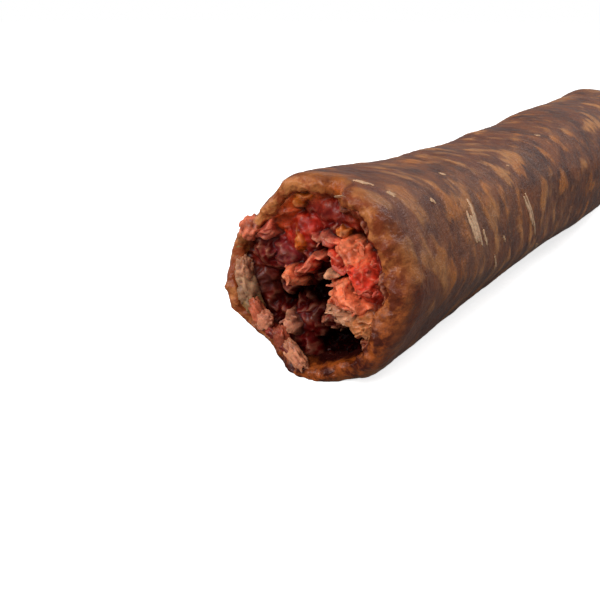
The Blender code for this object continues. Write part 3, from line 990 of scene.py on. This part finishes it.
def rim_colour(nodes, colour):
    """The skin's colour, made warmer towards the rim and mottled on the torn edge itself; the torn edge
    is browner in places and darker round the bottom as painted shade, and deep on the rolled edge's inner
    wall it is painted dark with shade.
    """
    place = nodes.place()
    edge = nodes.attribute("edge")
    rim_brown_and_shade = nodes.attribute("rim_brown_and_shade")
    warm_share = nodes.ramp(nodes.noise(place, 330, 4, 0.65), 0.4, 0.64)
    warm = nodes.mix(warm_share, RIM_SKIN_DARK, RIM_SKIN_LIGHT)
    colour = nodes.mix(nodes.maths("MULTIPLY", nodes.attribute("near_rim"), 0.6), colour, warm)
    speckle = nodes.ramp(nodes.noise(place, 430, 4, 0.65), 0.4, 0.62)
    # The torn edge turns browner on its thick side; round the bottom the same darker colours are painted
    # shade.
    dark_edge = nodes.mix(rim_brown_and_shade, THIN_RIM_DARK, BROWN_AND_SHADED_RIM_DARK)
    light_edge = nodes.mix(rim_brown_and_shade, THIN_RIM_LIGHT, BROWN_AND_SHADED_RIM_LIGHT)
    torn = nodes.mix(speckle, dark_edge, light_edge)
    colour = nodes.mix(nodes.ramp(edge, 0.1, 0.9), colour, torn)
    # Deep on the rolled edge's inner wall the colour is painted dark: painted shade.
    return nodes.mix(nodes.ramp(edge, 1.0, 1.6), colour, RIM_INSIDE_SHADE)


def skin_material():
    """Dried casing, finely creased along and across the grain."""
    nodes = Nodes("casing_skin")
    grain_place = skin_grain_coordinates(nodes)
    streaks = nodes.noise(grain_place, 900, 4, 0.6, 0.6)
    mottle = nodes.noise(nodes.place(), 210, 4, 0.6)
    colour = rim_colour(nodes, body_colour(nodes, streaks, mottle))
    # The skin is painted darker along the wrinkle field's creases: painted shade.
    crease_shade = nodes.ramp(nodes.attribute("wrinkle"), -0.2, -0.9, 0, 0.35)
    fine = nodes.noise(grain_place, 2400, 3, 0.6, 0.4)
    cross = nodes.noise(nodes.place(scale=(1, 0.25, 1)), 2600, 3, 0.6)
    height = nodes.maths("MULTIPLY_ADD", fine, 0.6, nodes.maths("MULTIPLY", cross, 0.5))
    height = nodes.maths("MULTIPLY_ADD", streaks, 1.3, height)
    nodes.set(
        Base_Color=nodes.mix(crease_shade, colour, SKIN_CREASE_SHADE),
        Roughness=nodes.ramp(mottle, 0.3, 0.7, 0.3, 0.44),
        Normal=nodes.bump(height, 0.00025, 0.8),
        Specular_IOR_Level=0.3,
        Coat_Weight=0.05,
        Coat_Roughness=0.3,
        Subsurface_Weight=0.06,
        Subsurface_Scale=0.0015,
        Subsurface_Radius=(1.0, 0.35, 0.15),
    )
    return nodes.material


def meat_material():
    """Moist torn meat: its own tint, darker and redder in the valleys of its fibres, partly moist meat
    and partly painted shade.
    """
    nodes = Nodes("torn_meat")
    place = nodes.place()
    tint = nodes.attribute("tint", "Color")
    mottle = nodes.noise(place, 620, 4, 0.6)
    fibre = nodes.noise(place, 2000, 4, 0.6, 0.8)
    gain = nodes.ramp(mottle, 0.35, 0.68, 0.62, 1.45)
    gain = nodes.add("ShaderNodeCombineColor", 0, {0: gain, 1: gain, 2: gain})
    colour = nodes.mix(1.0, tint, gain, "MULTIPLY")
    colour = nodes.mix(nodes.ramp(fibre, 0.46, 0.3, 0.0, 0.5), colour, MEAT_VALLEY_MOIST_AND_SHADE)
    nodes.set(
        Base_Color=colour,
        Roughness=nodes.ramp(mottle, 0.3, 0.7, 0.3, 0.5),
        Normal=nodes.bump(fibre, 0.00014, 0.5),
        Specular_IOR_Level=nodes.ramp(nodes.attribute("sunk"), 0.0, 0.8, 0.25, 0.03),
        Coat_Weight=nodes.ramp(nodes.attribute("sunk"), 0.0, 0.5, 0.07, 0.0),
        Coat_Roughness=0.2,
        Subsurface_Weight=0.2,
        Subsurface_Scale=0.002,
        Subsurface_Radius=(1.0, 0.3, 0.15),
    )
    return nodes.material


def shred_material():
    """Thin dry flakes and strips, each with its own tint."""
    nodes = Nodes("shreds")
    place = nodes.place()
    tint = nodes.attribute("tint", "Color")
    speckle = nodes.noise(place, 2600, 3, 0.6)
    nodes.set(
        Base_Color=nodes.mix(nodes.ramp(speckle, 0.35, 0.6, 0.35, 0.0), tint, SKIN_RED),
        Roughness=0.5,
        Normal=nodes.bump(speckle, 0.0001, 0.5),
        Subsurface_Weight=0.15,
        Subsurface_Scale=0.001,
        Subsurface_Radius=(1.0, 0.4, 0.25),
    )
    return nodes.material


def view_axes():
    azimuth, elevation = math.radians(CAMERA_AZIMUTH), math.radians(CAMERA_ELEVATION)
    right = Vector((math.cos(azimuth), math.sin(azimuth), 0))
    back = Vector((
        math.sin(azimuth) * math.cos(elevation),
        -math.cos(azimuth) * math.cos(elevation),
        math.sin(elevation),
    ))
    return right, back.cross(right), -back


def add_camera():
    right, up, forward = view_axes()
    data = bpy.data.cameras.new("camera")
    data.lens = CAMERA_LENS
    data.sensor_width = 36.0
    data.clip_start = 0.005
    camera = bpy.data.objects.new("camera", data)
    away = RIM_SEEN_AT.x * right + RIM_SEEN_AT.y * up + RIM_SEEN_AT.z * forward
    camera.location = Vector(rim_middle()) - away
    camera.rotation_euler = forward.to_track_quat("-Z", "Y").to_euler()
    bpy.context.scene.collection.objects.link(camera)
    bpy.context.scene.camera = camera


def add_lamps():
    for lamp in LAMPS:
        data = bpy.data.lights.new(lamp.name, "AREA")
        data.shape = "DISK"
        data.size = lamp.size
        data.energy = lamp.power
        item = bpy.data.objects.new(lamp.name, data)
        item.location = lamp.place
        item.rotation_euler = (LAMP_TARGET - Vector(lamp.place)).to_track_quat("-Z", "Y").to_euler()
        bpy.context.scene.collection.objects.link(item)


def seen_by_camera(tree):
    """1 for what the camera sees and 0 for the light that falls on the object."""
    return tree.nodes.new("ShaderNodeLightPath").outputs["Is Camera Ray"]


def make_world():
    world = bpy.data.worlds.new("world")
    world.use_nodes = True
    bpy.context.scene.world = world
    tree = world.node_tree
    background = tree.nodes["Background"]
    background.inputs["Color"].default_value = (1, 1, 1, 1)
    strength = tree.nodes.new("ShaderNodeMapRange")
    strength.inputs["To Min"].default_value = WORLD_LIGHT
    strength.inputs["To Max"].default_value = 1.0
    tree.links.new(seen_by_camera(tree), strength.inputs["Value"])
    tree.links.new(strength.outputs[0], background.inputs["Strength"])


def make_floor():
    corners = [(-1, -1), (1, -1), (1, 1), (-1, 1)]
    data = bpy.data.meshes.new("floor")
    points = [(x * FLOOR_HALF, y * FLOOR_HALF, -FLOOR_DROP) for x, y in corners]
    data.from_pydata(points, [], [(0, 1, 2, 3)])
    floor = bpy.data.objects.new("floor", data)
    bpy.context.scene.collection.objects.link(floor)
    nodes = Nodes("floor_white")
    seen = seen_by_camera(nodes.tree)
    bounce, pale = (FLOOR_BOUNCE,) * 3 + (1,), (FLOOR_SEEN,) * 3 + (1,)
    nodes.set(
        Base_Color=nodes.mix(seen, bounce, pale),
        Roughness=1.0,
        Specular_IOR_Level=0.0,
        Emission_Color=(1, 1, 1, 1),
        Emission_Strength=nodes.maths("MULTIPLY", seen, FLOOR_GLOW),
    )
    floor.data.materials.append(nodes.material)


def ride_and_replace(pieces):
    for piece in pieces:
        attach(piece, "root")
        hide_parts("sausage")


def main():
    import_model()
    bpy.context.scene.view_settings.view_transform = "Standard"
    ride_and_replace([make_skin(), make_meat(), make_shreds()])
    make_floor()
    make_world()
    add_lamps()
    add_camera()


main()
